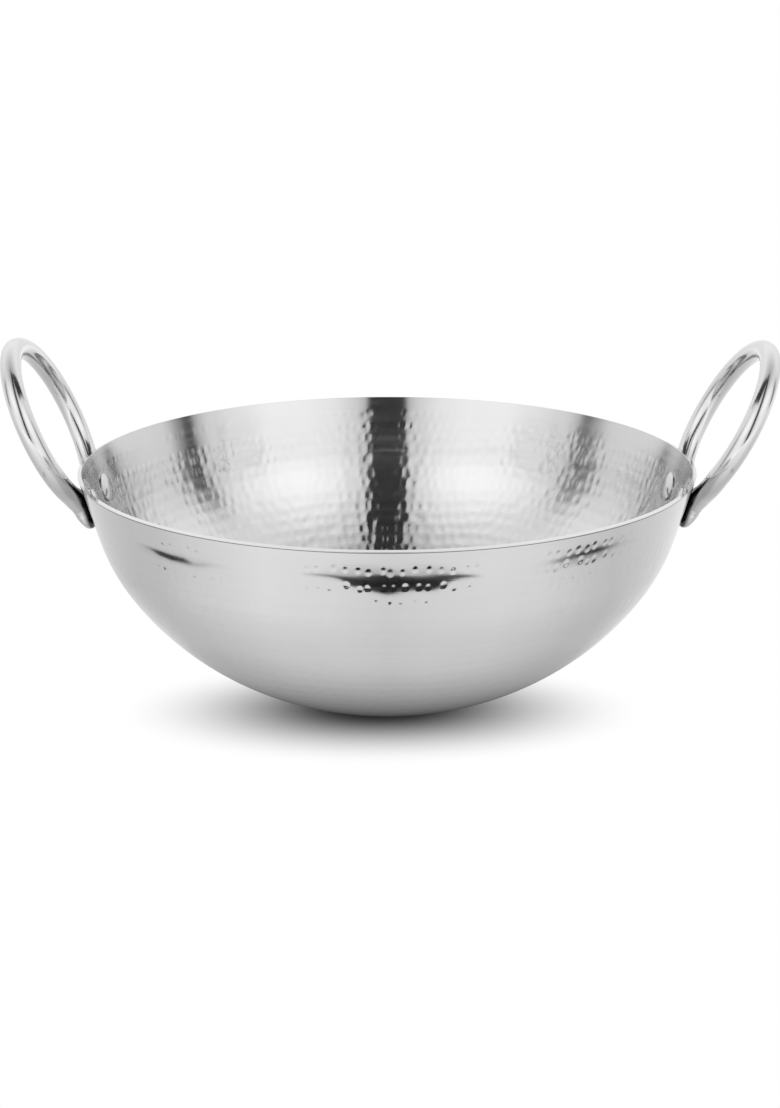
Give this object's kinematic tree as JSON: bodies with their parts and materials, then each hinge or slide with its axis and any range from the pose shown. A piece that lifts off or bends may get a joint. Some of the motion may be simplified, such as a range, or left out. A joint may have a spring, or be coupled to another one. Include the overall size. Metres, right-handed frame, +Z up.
{
  "type": "kadai",
  "caption": "Deep round-bottomed hammered steel cooking bowl with two upright ring handles of bent rod, riveted on at the sides.",
  "frame": {"origin": "middle of the small flat under the bowl, on the surface it stands on", "axes": "+Z up along the bowl's axis, +X through the middle of one handle and -X through the other, -Y the front"},
  "size_m": [0.3228, 0.26, 0.1558],
  "materials": {
    "bowl_steel": "hammered in rows of small round marks, then finely brushed round its axis",
    "handle_steel": "polished stainless rod",
    "rivet_steel": "polished stainless rivet heads"
  },
  "bodies": {
    "root": {"bowl": "bowl_steel", "handle_left": "handle_steel", "handle_right": "handle_steel", "rivet_left_front": "rivet_steel", "rivet_left_rear": "rivet_steel", "rivet_right_front": "rivet_steel", "rivet_right_rear": "rivet_steel"}
  },
  "joints": []
}
